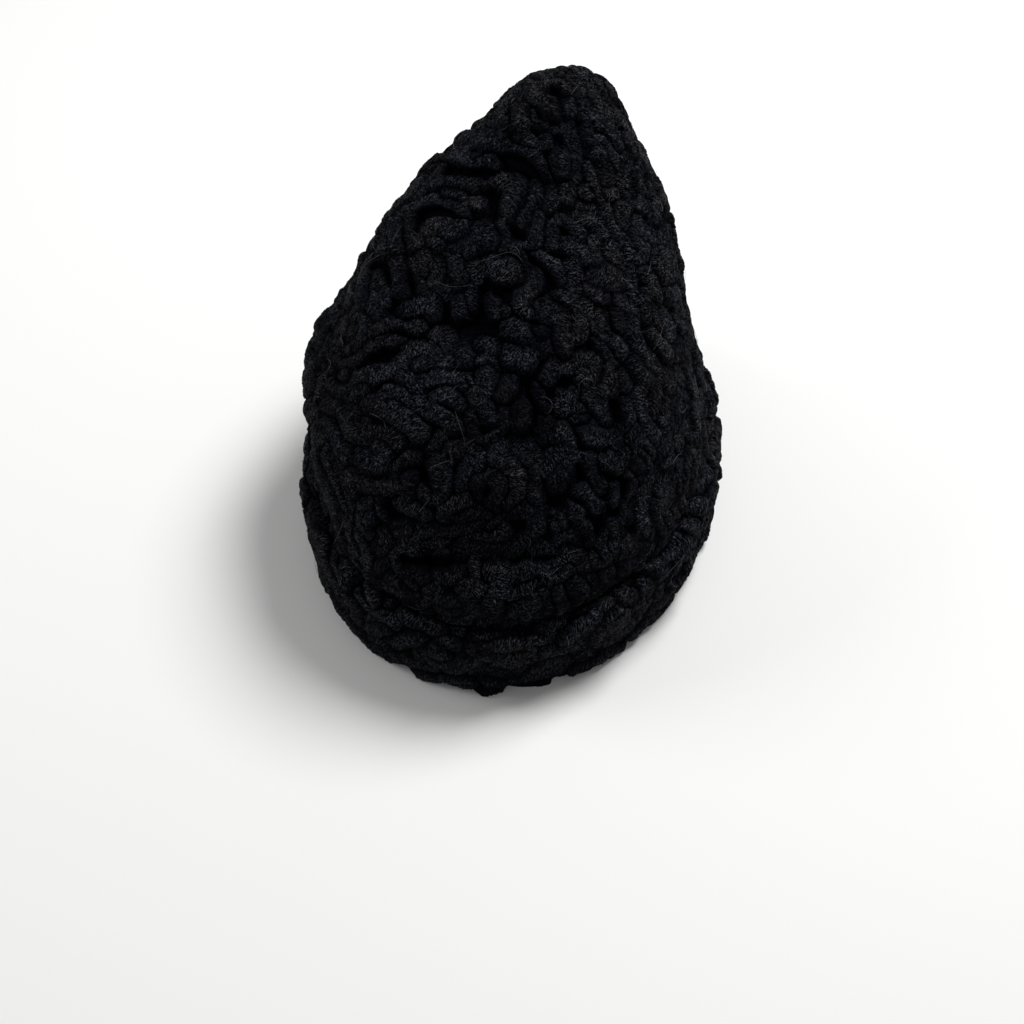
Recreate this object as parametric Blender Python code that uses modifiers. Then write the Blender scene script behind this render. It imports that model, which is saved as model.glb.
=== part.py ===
"""Cossack hat: a tall soft crown of curly lamb fur with a blunt front peak, and a turned-up cuff.

The hat stands on the underside of its cuff at Z = 0. Its front faces -Y, and the wearer's left is +X.
Sizes are in millimetres, and MM turns them into Blender's metres.
"""
import math

import bmesh
import bpy
import numpy as np
from mathutils import Vector

MM = 0.001
GAP = 0.3

# The cuff, measured outside over the fur
CUFF_WIDTH = 199
CUFF_LENGTH = 240
CUFF_HEIGHT = 43
CUFF_WALL = 9.5
CUFF_BELLY = 1.2          # how far the band swells at half its height
CUFF_EDGE_RADIUS = 3.4    # the fold at the bottom, outside
FOOT_REACH = 6.0          # the fold's inner lip, which the crown's edge stands on
FOOT_THICKNESS = 7.6
ARC_STEPS = 4
FACE_STEPS = 4

# The crown: pelt and fur together
CROWN_WALL = 8
CROWN_FOOT = FOOT_THICKNESS + GAP
INNER_HALF_WIDTH = CUFF_WIDTH / 2 - CUFF_WALL - GAP
INNER_HALF_LENGTH = CUFF_LENGTH / 2 - CUFF_WALL - GAP
UPRIGHT_TO = CUFF_HEIGHT - 2

# A row for each level section above the cuff: how far it reaches from the hat's axis to each side
SECTION_COLUMNS = ("height", "front", "back", "left", "right")
SECTIONS = (
    (UPRIGHT_TO, INNER_HALF_LENGTH, INNER_HALF_LENGTH, INNER_HALF_WIDTH, INNER_HALF_WIDTH),
    (48, 111, 110, 91, 92),
    (62, 112, 109, 92, 91),
    (80, 112, 100, 95, 85),
    (100, 112, 85, 82, 78),
    (120, 112, 61, 75, 70),
    (140, 111, 29, 61, 62),
    (157, 110, -4, 42, 48),
    (168, 108, -31, 29, 39),
    (178, 104, -49, 21, 32),
    (184, 99, -62, 15, 26),
    (188, 93, -73, 7, 17),
)
PEAK = (-5, -84, 190.5)   # the top of the blunt peak

# A row for each soft dent; a bulge has a negative depth. The angle grows from the back to the wearer's left.
DENT_COLUMNS = ("name", "angle", "height", "spread_round", "spread_up", "depth")
DENTS = (
    ("hollow on the left flank", 27, 138, 30, 15, 7.0),
    ("fold over the cuff, left", 66, 59, 42, 10, 6.5),
    ("bulge over that fold", 84, 86, 24, 13, -5.0),
    ("hollow along the back", -6, 78, 62, 9, 4.0),
    ("roll under that hollow", -6, 58, 66, 9, -2.5),
    ("crease below the peak", 26, 166, 14, 9, 3.0),
    ("crease's lower end", -12, 158, 16, 9, 3.0),
)

DENT_FADE = 12            # the height over which the dents come in, above the cuff

AROUND = 64
SECTION_WEIGHTS = (1, 0.5, 0.5, 0.5, 0.5)
HIDDEN_LEVELS = 3         # rings inside the cuff
LEVELS = 27               # rings from there to just under the peak

FUR_COLOUR = (0.012, 0.012, 0.015, 1)
FUR_ROUGHNESS = 0.85


def clear_scene():
    for thing in list(bpy.data.objects):
        bpy.data.objects.remove(thing, do_unlink=True)


def fur_material(name):
    material = bpy.data.materials.new(name)
    material.use_nodes = True
    shader = material.node_tree.nodes["Principled BSDF"]
    shader.inputs["Base Color"].default_value = FUR_COLOUR
    shader.inputs["Roughness"].default_value = FUR_ROUGHNESS
    shader.inputs["Metallic"].default_value = 0
    return material


def angles():
    """Directions round the hat, from the back to the wearer's left."""
    return np.linspace(0, 2 * math.pi, AROUND, endpoint=False)


def smooth_sections():
    """LEVELS rows read from a smooth curve through SECTIONS, evenly spaced along it."""
    rows = np.array(SECTIONS, dtype=float)
    travel = np.concatenate([[0], np.cumsum(np.linalg.norm(np.diff(rows, axis=0) * SECTION_WEIGHTS, axis=1))])
    slopes = np.gradient(rows, travel, axis=0)
    slopes[0, 1:] = 0          # upright where it leaves the cuff
    at = np.linspace(0, travel[-1], LEVELS)
    low = np.clip(np.searchsorted(travel, at, side="right") - 1, 0, len(rows) - 2)
    step = (travel[low + 1] - travel[low])[:, None]
    t = (at - travel[low])[:, None] / step
    return (
        (2 * t**3 - 3 * t**2 + 1) * rows[low]
        + (t**3 - 2 * t**2 + t) * step * slopes[low]
        + (3 * t**2 - 2 * t**3) * rows[low + 1]
        + (t**3 - t**2) * step * slopes[low + 1]
    )


def crown_rings():
    """The crown's oval rings, as an array of ring, point and X, Y, Z."""
    hidden = np.tile(np.array(SECTIONS[0], dtype=float), (HIDDEN_LEVELS, 1))
    hidden[:, 0] = np.linspace(CROWN_FOOT, UPRIGHT_TO, HIDDEN_LEVELS, endpoint=False)
    height, front, back, left, right = np.concatenate([hidden, smooth_sections()]).T[:, :, None]
    x = (left - right) / 2 + (left + right) / 2 * np.sin(angles())
    y = (back - front) / 2 + (back + front) / 2 * np.cos(angles())
    return np.stack([x, y, height + 0 * x], axis=-1)


def outward(rings):
    """Unit normals of a grid of rings."""
    round_step = np.roll(rings, -1, axis=1) - np.roll(rings, 1, axis=1)
    up_step = np.gradient(rings, axis=0)
    normal = np.cross(up_step, round_step)
    return normal / np.linalg.norm(normal, axis=-1, keepdims=True)


def press_dents(rings):
    """Moves the rings in or out along their normals, by each row of DENTS."""
    axis = (rings.min(axis=1, keepdims=True) + rings.max(axis=1, keepdims=True)) / 2
    reach = np.hypot(rings[..., 0] - axis[..., 0], rings[..., 1] - axis[..., 1])
    normal = outward(rings)
    moved = rings.copy()
    for _, angle, height, spread_round, spread_up, depth in DENTS:
        turn = (angles() - math.radians(angle) + math.pi) % (2 * math.pi) - math.pi
        away = (turn * reach / spread_round) ** 2 + ((rings[..., 2] - height) / spread_up) ** 2
        moved -= normal * (depth * np.exp(-away))[..., None]
    free = np.clip((rings[..., 2] - UPRIGHT_TO) / DENT_FADE, 0, 1)[..., None]
    return rings + (moved - rings) * free


def add_rings(mesh, rings, closed):
    """Adds a grid of rings to a bmesh, and joins the last ring to the first if the grid is closed."""
    rows = [[mesh.verts.new(Vector(point) * MM) for point in ring] for ring in rings]
    following = rows[1:] + rows[:1] if closed else rows[1:]
    for row, above in zip(rows, following):
        for k in range(len(row)):
            after = (k + 1) % len(row)
            mesh.faces.new((row[k], above[k], above[after], row[after]))
    return rows


def finish_object(name, mesh, material, collection):
    data = bpy.data.meshes.new(name)
    bmesh.ops.recalc_face_normals(mesh, faces=mesh.faces)
    mesh.to_mesh(data)
    mesh.free()
    data.shade_smooth()
    data.materials.append(material)
    thing = bpy.data.objects.new(name, data)
    collection.objects.link(thing)
    return thing


def make_crown(material, collection):
    """The crown: its outside as an open surface, made a hollow wall by Solidify."""
    mesh = bmesh.new()
    rows = add_rings(mesh, press_dents(crown_rings()), closed=False)
    tip = mesh.verts.new(Vector(PEAK) * MM)
    top = rows[-1]
    for k in range(AROUND):
        mesh.faces.new((top[k], tip, top[(k + 1) % AROUND]))
    crown = finish_object("crown", mesh, material, collection)
    wall = crown.modifiers.new("wall", "SOLIDIFY")
    wall.thickness = CROWN_WALL * MM
    wall.offset = -1
    wall.use_even_offset = True
    return crown


def arc(centre, radius, start, end):
    """Points of an arc in the cuff's cross-section; angles in degrees, 0 pointing outward and 90 up."""
    turns = [math.radians(start + (end - start) * k / ARC_STEPS) for k in range(ARC_STEPS + 1)]
    return [(centre[0] + radius * math.cos(t), centre[1] + radius * math.sin(t)) for t in turns]


def cuff_profile():
    """The band's cross-section as (out, up): 0 out is its inner face, 0 up its flat underside."""
    lip = FOOT_THICKNESS / 2
    top = CUFF_WALL / 2
    lower, upper = CUFF_EDGE_RADIUS, CUFF_HEIGHT - top
    points = arc((lip - FOOT_REACH, lip), lip, 270, 90)
    points += [(0, FOOT_THICKNESS)]
    points += [(0, FOOT_THICKNESS + (upper - FOOT_THICKNESS) * k / FACE_STEPS) for k in range(1, FACE_STEPS)]
    points += arc((top, upper), top, 180, 0)
    for k in range(1, FACE_STEPS):
        share = k / FACE_STEPS
        swell = CUFF_BELLY * math.sin(math.pi * share)
        points.append((CUFF_WALL + swell, upper + (lower - upper) * share))
    points += arc((CUFF_WALL - lower, lower), lower, 0, -90)
    return points


def make_cuff(material, collection):
    """The cuff: its cross-section carried round the head's oval."""
    profile = cuff_profile()
    half = np.array([CUFF_WIDTH / 2 - CUFF_WALL, CUFF_LENGTH / 2 - CUFF_WALL])
    inner = half * np.column_stack([np.sin(angles()), np.cos(angles())])
    along = np.roll(inner, -1, axis=0) - np.roll(inner, 1, axis=0)
    out = np.stack([-along[:, 1], along[:, 0]], axis=-1)
    out /= np.linalg.norm(out, axis=1, keepdims=True)
    rings = []
    for reach, height in profile:
        ring = inner + out * reach
        rings.append(np.column_stack([ring, np.full(AROUND, height)]))
    mesh = bmesh.new()
    add_rings(mesh, rings, closed=True)
    return finish_object("cuff", mesh, material, collection)


def main():
    clear_scene()
    collection = bpy.data.collections.new("cossack_hat")
    bpy.context.scene.collection.children.link(collection)
    make_crown(fur_material("crown fur"), collection)
    make_cuff(fur_material("cuff fur"), collection)


main()
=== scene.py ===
# %% [markdown]
# # A cossack hat of curled black lamb fur
# The hat is one lamb pelt sewn to a tall soft crown, with a narrow cuff folded up round its edge. Its looks
# come from the fur: lamb hair that grows in tight rolls, mostly 5 to 8 mm wide, with dark partings between.
# The plan is to give each of the imported model's two solids a fine skin, and to lay rolls on it: some placed
# one by one, the rest grown by a rule. Small locks of hair then go across every roll, and a few long hairs
# lie loose on top.

# %% Start from the imported model
import math
import bmesh
import bpy
import numpy as np
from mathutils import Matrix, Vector
from mathutils.kdtree import KDTree


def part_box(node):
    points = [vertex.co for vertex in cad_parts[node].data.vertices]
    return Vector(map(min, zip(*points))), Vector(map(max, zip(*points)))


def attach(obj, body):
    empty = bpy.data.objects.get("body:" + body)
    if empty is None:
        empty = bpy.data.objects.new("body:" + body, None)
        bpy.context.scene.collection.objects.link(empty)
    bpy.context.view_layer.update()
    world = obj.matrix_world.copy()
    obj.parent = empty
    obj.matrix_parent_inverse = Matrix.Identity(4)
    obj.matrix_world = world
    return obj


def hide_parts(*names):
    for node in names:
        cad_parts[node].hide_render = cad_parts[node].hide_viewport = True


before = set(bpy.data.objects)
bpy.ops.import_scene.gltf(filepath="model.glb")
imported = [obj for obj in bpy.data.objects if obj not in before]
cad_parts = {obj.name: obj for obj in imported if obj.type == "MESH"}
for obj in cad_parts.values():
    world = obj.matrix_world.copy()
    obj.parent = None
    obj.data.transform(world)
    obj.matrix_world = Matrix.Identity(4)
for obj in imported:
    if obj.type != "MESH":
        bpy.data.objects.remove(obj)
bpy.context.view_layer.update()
MM = 0.001

# %% [markdown]
# ## Camera
# The hat is seen from behind and well above, a little towards the wearer's right, from about three quarters
# of a metre. The camera could be dragged into place by eye, but its place is easier to keep as four
# numbers: azimuth, elevation, roll and distance. The lens then follows from how many millimetres one pixel
# covers at the hat's middle.

# %% Place the camera
CAMERA_AZIMUTH = 194.9      # degrees, 0 looks at the hat's front
CAMERA_ELEVATION = 51.9
CAMERA_ROLL = -1.3
CAMERA_DISTANCE = 0.750
PIXEL_SIZE = 0.509 * MM     # at the hat's middle
IMAGE_WIDTH = 1024
HAT_CENTRE_IN_IMAGE = (513.1, 487.0)

azimuth = math.radians(CAMERA_AZIMUTH)
elevation = math.radians(CAMERA_ELEVATION)
towards_camera = Vector((
    math.sin(azimuth) * math.cos(elevation),
    -math.cos(azimuth) * math.cos(elevation),
    math.sin(elevation),
))
camera_data = bpy.data.cameras.new("camera")
camera_data.lens = camera_data.sensor_width * CAMERA_DISTANCE / (IMAGE_WIDTH * PIXEL_SIZE)
camera_data.shift_x = (IMAGE_WIDTH / 2 - HAT_CENTRE_IN_IMAGE[0]) / IMAGE_WIDTH
camera_data.shift_y = (HAT_CENTRE_IN_IMAGE[1] - IMAGE_WIDTH / 2) / IMAGE_WIDTH
camera = bpy.data.objects.new("camera", camera_data)
camera.location = CAMERA_DISTANCE * towards_camera
camera.rotation_euler = towards_camera.to_track_quat("Z", "Y").to_euler()
camera.rotation_euler.rotate_axis("Z", math.radians(CAMERA_ROLL))
bpy.context.scene.collection.objects.link(camera)
bpy.context.scene.camera = camera
print("lens %.1f mm" % camera_data.lens)

# %% [markdown]
# ## Floor and light
# Black fur shows its rolls only by what it reflects, so the light matters more than on a pale thing. One
# large soft light stands above and to the image's right, a weaker one opposite, and the pale surroundings
# fill the rest.

# %% A pale floor
FLOOR_SIZE = 6.0
FLOOR_COLOUR = (0.72, 0.72, 0.715, 1)


def plain_material(name, colour, roughness):
    material = bpy.data.materials.new(name)
    material.use_nodes = True
    shader = material.node_tree.nodes["Principled BSDF"]
    shader.inputs["Base Color"].default_value = colour
    shader.inputs["Roughness"].default_value = roughness
    return material


floor_mesh = bpy.data.meshes.new("floor")
half = FLOOR_SIZE / 2
corners = [(-half, -half, 0), (half, -half, 0), (half, half, 0), (-half, half, 0)]
floor_mesh.from_pydata(corners, [], [(0, 1, 2, 3)])
floor_mesh.materials.append(plain_material("pale floor", FLOOR_COLOUR, 0.9))
floor = bpy.data.objects.new("floor", floor_mesh)
bpy.context.scene.collection.objects.link(floor)
print("floor at height", 0)

# %% Soft light
WORLD_STRENGTH = 0.3
LIGHTS = (
    # name, place, size, watts
    ("key", (-0.5, -0.7, 1.35), 0.7, 30),
    ("fill", (1.3, 0.1, 0.9), 0.8, 8),
)

bpy.context.scene.view_settings.view_transform = "Standard"

world = bpy.data.worlds.new("studio")
world.use_nodes = True
world.node_tree.nodes["Background"].inputs["Color"].default_value = (1, 1, 1, 1)
world.node_tree.nodes["Background"].inputs["Strength"].default_value = WORLD_STRENGTH
bpy.context.scene.world = world
for name, place, size, watts in LIGHTS:
    light = bpy.data.lights.new(name, "AREA")
    light.shape = "DISK"
    light.size = size
    light.energy = watts
    lamp = bpy.data.objects.new(name, light)
    lamp.location = place
    lamp.rotation_euler = Vector(place).to_track_quat("Z", "Y").to_euler()
    bpy.context.scene.collection.objects.link(lamp)
print(len(LIGHTS), "lights")

# %% [markdown]
# ## A fine skin for each solid
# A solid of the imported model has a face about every 10 mm, but a roll of fur needs a point about every
# millimetre. Subdividing would crowd points at the peak, where the rings meet. A voxel remesh gives points
# evenly spaced over the whole surface, which the growth rule for the fur also needs. Rounds of averaging
# then take out the facets.

# %% Remesh a solid finely
def new_object(name, mesh):
    thing = bpy.data.objects.new(name, mesh)
    bpy.context.scene.collection.objects.link(thing)
    return thing


def evaluated_mesh(thing):
    """The thing's mesh after its modifiers, as a plain mesh."""
    depsgraph = bpy.context.evaluated_depsgraph_get()
    return bpy.data.meshes.new_from_object(thing.evaluated_get(depsgraph))


def fine_copy(node, name, voxel):
    mesh = bmesh.new()
    mesh.from_mesh(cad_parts[node].data)
    bmesh.ops.remove_doubles(mesh, verts=mesh.verts, dist=1e-5)
    data = bpy.data.meshes.new(name)
    mesh.to_mesh(data)
    mesh.free()
    thing = new_object(name, data)
    remesh = thing.modifiers.new("even points", "REMESH")
    remesh.mode = "VOXEL"
    remesh.voxel_size = voxel
    thing.data = evaluated_mesh(thing)
    thing.modifiers.clear()
    print(name, "has", len(thing.data.vertices), "points")
    return thing


# %% [markdown]
# ## Working on points with arrays
# Every field below, such as how high a roll stands, is one number for each point. Python loops over 100,000
# points are slow, so the fields are arrays, and a neighbour's value is read along the mesh's edges.

# %% A skin as arrays
class Skin:
    """The points of a mesh as arrays, with sums over each point's neighbours."""

    def __init__(self, thing):
        self.thing = thing
        self.count = len(thing.data.vertices)
        self.points = self.read("vertices", "co", 3, self.count) / MM
        edges = self.read("edges", "vertices", 2, len(thing.data.edges), int)
        self.a, self.b = edges.T

    def read(self, domain, name, width, count, kind=float):
        values = np.zeros(count * width, np.int32 if kind is int else np.float32)
        getattr(self.thing.data, domain).foreach_get(name, values)
        return values.reshape(count, width).astype(kind)

    def write(self):
        self.thing.data.vertices.foreach_set("co", (self.points * MM).astype(np.float32).ravel())
        self.thing.data.update()

    def normals(self):
        self.write()
        return self.read("vertices", "normal", 3, self.count)

    def around(self, values, weights=1.0):
        """For each point, the sum of its neighbours' values."""
        return (
            np.bincount(self.a, values[self.b] * weights, self.count)
            + np.bincount(self.b, values[self.a] * weights, self.count)
        )

    def smooth(self, values, rounds, share=1.0, weights=1.0):
        """Values averaged with their neighbours, round after round; share says how far each round goes."""
        if values.ndim == 2:
            return np.column_stack([self.smooth(column, rounds, share, weights) for column in values.T])
        total = 1 + self.around(np.ones(self.count), weights)
        for _ in range(rounds):
            values = values + share * ((values + self.around(values, weights)) / total - values)
        return values

    def store(self, name, values):
        """Keeps a field on the mesh, where materials and Geometry Nodes can read it."""
        kind = "FLOAT" if values.ndim == 1 else "FLOAT_VECTOR"
        attribute = self.thing.data.attributes.new(name, kind, "POINT")
        field = "value" if kind == "FLOAT" else "vector"
        attribute.data.foreach_set(field, values.astype(np.float32).ravel())


def unit(vectors):
    return vectors / np.maximum(np.linalg.norm(vectors, axis=-1, keepdims=True), 1e-9)


# %% Skins of the crown and the cuff
VOXEL = 0.90 * MM
FACET_ROUNDS = 20

crown = Skin(fine_copy("crown", "crown_fur", VOXEL))
cuff = Skin(fine_copy("cuff", "cuff_fur", VOXEL))
for skin in (crown, cuff):
    skin.points = skin.smooth(skin.points, FACET_ROUNDS)
    skin.normal = skin.normals()
print("skins ready")

# %% [markdown]
# ## Where the fur is
# Fur covers the crown's outside and the cuff's outside, top and underside. The crown's inside is bare pelt,
# and the strip of crown behind the cuff is never seen. A field called cover says how much fur there is,
# from 0 for bare to 1 for full, and fades over a few millimetres.

# %% Cover the outside with fur
HOLLOW_TOP = 150            # the hollow's own axis ends here, in millimetres
PEAK_LEAN = (-5, -84)       # where that axis has gone by then
CUFF_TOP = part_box("cuff")[1].z / MM
TUCKED_IN = (16, 8)         # the crown's fur starts and is full so many millimetres below the cuff's top
# The fur starts and is full where the skin turns this far outward, or upward on the cuff's top
CROWN_OUTWARD = (-0.05, 0.2)
CUFF_OUTWARD = (-0.3, 0.1)
CUFF_UPWARD = (0.2, 0.6)
SOME_FUR = 0.02             # values of the cover field that count as furred, and as fully furred
FULL_FUR = 0.9


def ramp(values, start, end):
    """0 at start, 1 at end, smooth between."""
    share = np.clip((values - start) / (end - start), 0, 1)
    return share * share * (3 - 2 * share)


share = np.clip(crown.points[:, 2] / HOLLOW_TOP, 0, 1)
axis = np.column_stack([PEAK_LEAN[0] * share ** 2, PEAK_LEAN[1] * share ** 2, share * HOLLOW_TOP])
facing = (unit(crown.points - axis) * crown.normal).sum(axis=1)
tucked = ramp(crown.points[:, 2], CUFF_TOP - TUCKED_IN[0], CUFF_TOP - TUCKED_IN[1])
crown.cover = ramp(facing, *CROWN_OUTWARD) * tucked

cuff_half = np.array([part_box("cuff")[1].x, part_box("cuff")[1].y]) / MM
radial = unit(np.column_stack([cuff.points[:, :2] / cuff_half ** 2, np.zeros(cuff.count)]))
facing = (radial * cuff.normal).sum(axis=1)
upward = cuff.normal[:, 2] * (cuff.points[:, 2] > CUFF_TOP / 2)
cuff.cover = np.maximum(ramp(facing, *CUFF_OUTWARD), ramp(upward, *CUFF_UPWARD))
print("fur covers %.0f%% of the crown's points and %.0f%% of the cuff's" % (
    100 * crown.cover.mean(), 100 * cuff.cover.mean()))

# %% [markdown]
# ## How the rolls lie
# Each lamb curl is a roll of hair that runs a short way over the pelt, bends, and ends against the next. So
# a roll is drawn here as a spine, a line along its middle, with a half width. A noise texture would give
# lumps, and ridges grown by a rule would all be alike. Spines can be placed, bent and widened one by one,
# and they pack as the real curls do. Some of their ends run on into the roll that they meet, so that the
# partings make a maze, as on the real pelt. The rolls are broad and loose on the wearer's left, tighter on
# the right, and long and flat along the cuff.

# %% Half widths, lengths and bends
HALF_WIDTH_LEFT = 3.5       # millimetres from a roll's middle to its edge
HALF_WIDTH_RIGHT = 3.3
HALF_WIDTH_CUFF = 3.6
ORDERED_RIGHT = 0.75        # the share of rolls that keep to their heading on the wearer's right
NORMAL_ROUNDS = 6           # rounds of averaging for the directions in which rolls stand out
ROLLS = (
    # skin, length of a middling roll, how sharply it turns, the share of ends that grow into the next roll,
    # and its heading in degrees, where 0 runs level round the hat and 90 straight up
    (crown, 23, 0.10, 0.38, 100),
    (cuff, 26, 0.03, 0.15, 0),
)

# Degrees from the middle of the back towards the wearer's left, and how far a point counts as left
angle = np.degrees(np.arctan2(crown.points[:, 0], crown.points[:, 1]))
leftness = ramp(angle, -50, 40) * ramp(-angle, -200, -120)
crown.half_width = HALF_WIDTH_RIGHT + (HALF_WIDTH_LEFT - HALF_WIDTH_RIGHT) * leftness
cuff.half_width = np.full(cuff.count, HALF_WIDTH_CUFF)
crown.ordered, cuff.ordered = ORDERED_RIGHT * (1 - leftness), np.ones(cuff.count)
for skin, length, bend, joined, heading in ROLLS:
    skin.roll_length, skin.bend, skin.joined, skin.heading = length, bend, joined, math.radians(heading)
    skin.normal = unit(skin.smooth(skin.normal, NORMAL_ROUNDS))
print("half widths", crown.half_width.min(), "to", crown.half_width.max())

# %% [markdown]
# ## Rolls that stand out
# Some rolls catch the eye in the photograph, and some hollows between them are quite black. Each is a row:
# its half width, then x and y of each point of its spine, all in pixels. The camera's numbers turn a pixel
# into the place on the skin that lies behind it, so from any side the roll sits on the hat.

# %% Rolls and hollows, listed one by one
CROWN_ROLLS = (
    (8, 440, 158, 460, 157, 476, 163), (6, 437, 184, 460, 184, 476, 185), (5.5, 484, 187, 500, 183),
    (5, 405, 209, 420, 203, 436, 198, 450, 202, 462, 209), (5, 466, 203, 484, 204),
    (10, 428, 231, 445, 226, 458, 233), (11, 484, 236, 487, 240), (4.5, 500, 224, 507, 238, 502, 250),
    (9, 462, 245, 470, 252), (6, 514, 148, 530, 152, 541, 163, 551, 178),
    (6, 552, 184, 552, 195, 548, 207), (9, 516, 189, 513, 203, 509, 219),
    (5, 536, 185, 537, 197, 533, 206), (6.5, 539, 216, 534, 232, 532, 246),
    (5.5, 533, 254, 543, 259, 556, 269, 560, 279), (6, 553, 228, 553, 245), (9, 561, 159, 560, 172),
    (5, 572, 138, 577, 150, 577, 166, 578, 182), (4, 587, 166, 593, 185, 600, 203),
    (6, 603, 166, 606, 180), (7, 566, 190, 566, 202), (5, 562, 217, 572, 224, 580, 234),
    (5, 583, 206, 593, 208), (6, 604, 210, 610, 225, 615, 234), (7, 567, 243, 577, 248, 585, 256),
    (6, 597, 241, 597, 262), (6, 583, 188, 588, 193), (5, 597, 102, 596, 115, 595, 127),
    (6, 607, 108, 606, 120, 613, 131, 618, 142), (6, 584, 129, 588, 140),
    (4, 597, 137, 606, 145, 613, 155, 617, 166), (8, 595, 148, 597, 156), (7, 627, 140, 633, 152),
    (9, 545, 104, 550, 113), (8, 568, 105, 570, 112), (6, 549, 85, 561, 84, 567, 92),
    (7, 574, 79, 580, 91), (6, 590, 80, 597, 95), (7, 610, 88, 615, 98), (7, 530, 72, 541, 74),
    (8, 515, 92, 506, 104), (7, 535, 88, 531, 98), (6, 492, 119, 506, 124), (7, 534, 115, 544, 125),
    (10, 482, 140, 499, 143), (5, 447, 151, 468, 147), (6, 519, 140, 537, 145), (9, 425, 258, 424, 268),
    (4, 412, 262, 418, 278, 422, 291), (6, 398, 262, 403, 276, 404, 291),
    (9, 452, 253, 455, 266, 460, 280), (11, 494, 266, 510, 272), (4, 522, 258, 526, 270),
    (8, 536, 272, 533, 287, 522, 296), (8, 459, 303, 461, 311), (7, 490, 300, 494, 315),
    (4, 503, 309, 508, 318), (11, 513, 329, 520, 333), (9, 543, 307, 545, 313), (8, 540, 333, 539, 346),
    (5, 560, 295, 575, 303, 583, 318, 578, 334), (8, 560, 313, 562, 324),
    (5, 620, 300, 631, 306, 633, 330), (8, 618, 314, 620, 322), (6, 645, 295, 645, 320),
    (7, 600, 318, 602, 331), (6, 590, 290, 604, 297), (6, 632, 234, 636, 248),
    (6, 343, 364, 357, 357, 369, 347), (8, 356, 378, 371, 375, 387, 371), (8, 403, 363, 404, 378),
    (6, 386, 392, 400, 394, 413, 398, 420, 404), (7, 377, 404, 363, 407, 355, 418, 355, 431),
    (8, 388, 409, 400, 416, 412, 425, 421, 434), (6, 398, 440, 388, 432, 375, 432, 367, 441),
    (8, 377, 447, 386, 453), (8, 342, 448, 350, 456), (7, 331, 384, 341, 392),
    (7, 410, 350, 425, 348, 438, 353, 450, 361), (7, 461, 348, 463, 359),
    (6, 432, 377, 448, 376, 462, 380, 466, 387), (7, 437, 398, 449, 396, 460, 405),
    (6, 431, 411, 443, 413, 451, 425, 459, 438), (4.5, 470, 414, 474, 428, 478, 441),
    (9, 487, 374, 484, 388, 474, 399), (9, 486, 411, 491, 420), (5, 478, 341, 494, 346, 500, 356),
    (4, 483, 358, 492, 359, 498, 366), (11, 509, 357, 524, 362), (9, 509, 384, 505, 396),
    (10, 521, 409, 519, 421), (6, 503, 415, 504, 425), (5, 500, 433, 486, 441), (6, 498, 444, 495, 456),
    (7, 513, 443, 525, 447, 533, 457), (6, 440, 437, 435, 451), (7, 460, 442, 453, 452),
    (8, 536, 345, 545, 349), (9, 561, 344, 563, 354), (7, 556, 363, 550, 376),
    (7, 595, 362, 583, 357, 573, 367), (9, 586, 380, 594, 376), (6, 597, 345, 607, 357),
    (9, 613, 369, 608, 388), (6, 620, 373, 630, 384),
    (6, 581, 408, 566, 411, 556, 404, 562, 393, 575, 392), (9, 590, 397, 600, 408, 605, 420),
    (7, 576, 418, 585, 421), (4.5, 535, 391, 541, 403, 546, 412), (8, 546, 422, 543, 435),
    (7, 552, 436, 562, 428, 570, 438, 572, 452), (10, 588, 431, 600, 436), (7, 617, 432, 618, 440),
    (8, 625, 405, 626, 414), (5, 332, 455, 340, 472, 346, 491, 352, 505),
    (7, 366, 484, 380, 487, 394, 486), (6, 399, 471, 412, 461), (6, 401, 503, 414, 507, 425, 513),
    (8, 438, 463, 443, 477, 442, 491), (6, 468, 463, 461, 474, 462, 487),
    (9, 489, 478, 500, 485, 500, 497, 494, 504), (6.5, 507, 463, 516, 470, 520, 482, 517, 494, 507, 503),
    (6, 478, 483, 476, 497), (7, 447, 515, 453, 506, 468, 499), (6, 456, 518, 470, 514, 487, 515),
    (6, 424, 530, 440, 530), (5, 455, 530, 470, 527, 484, 522), (5, 461, 541, 475, 536, 489, 540),
    (4, 489, 526, 504, 520), (6, 423, 490, 430, 498), (6, 514, 514, 524, 509), (5, 536, 480, 537, 500),
    (7, 540, 470, 550, 462, 556, 452), (8, 565, 472, 557, 484),
    (5.5, 587, 460, 590, 472, 597, 480, 600, 491), (6.5, 578, 490, 588, 500, 596, 508),
    (6, 603, 463, 610, 457), (6, 612, 468, 621, 461, 625, 453),
    (4, 627, 473, 639, 478, 648, 470, 647, 459, 639, 450), (6, 635, 464, 637, 469),
    (5, 632, 480, 628, 492, 623, 505, 622, 520), (5, 612, 485, 612, 500), (5, 633, 505, 633, 518),
    (6, 578, 523, 588, 530, 585, 538), (6, 558, 538, 568, 533, 578, 540),
    (4, 603, 533, 602, 545, 604, 554), (7, 610, 521, 612, 528),
    (5, 640, 535, 642, 545, 635, 555, 622, 555, 616, 545, 622, 535), (8, 539, 514, 537, 525),
    (7, 440, 575, 457, 573), (7, 444, 601, 456, 601), (7, 425, 600, 432, 612), (8, 446, 617, 465, 618),
    (5, 515, 596, 528, 588, 538, 583), (8, 490, 600, 498, 612), (7, 509, 613, 520, 606),
    (5, 541, 588, 546, 597, 546, 606), (6, 557, 588, 562, 602, 559, 614), (9, 574, 585, 580, 593),
    (6, 519, 575, 531, 570), (5, 663, 510, 667, 524, 674, 530), (8, 685, 508, 683, 524),
    (4, 697, 405, 698, 430, 700, 448), (7, 692, 455, 690, 478),
)
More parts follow.
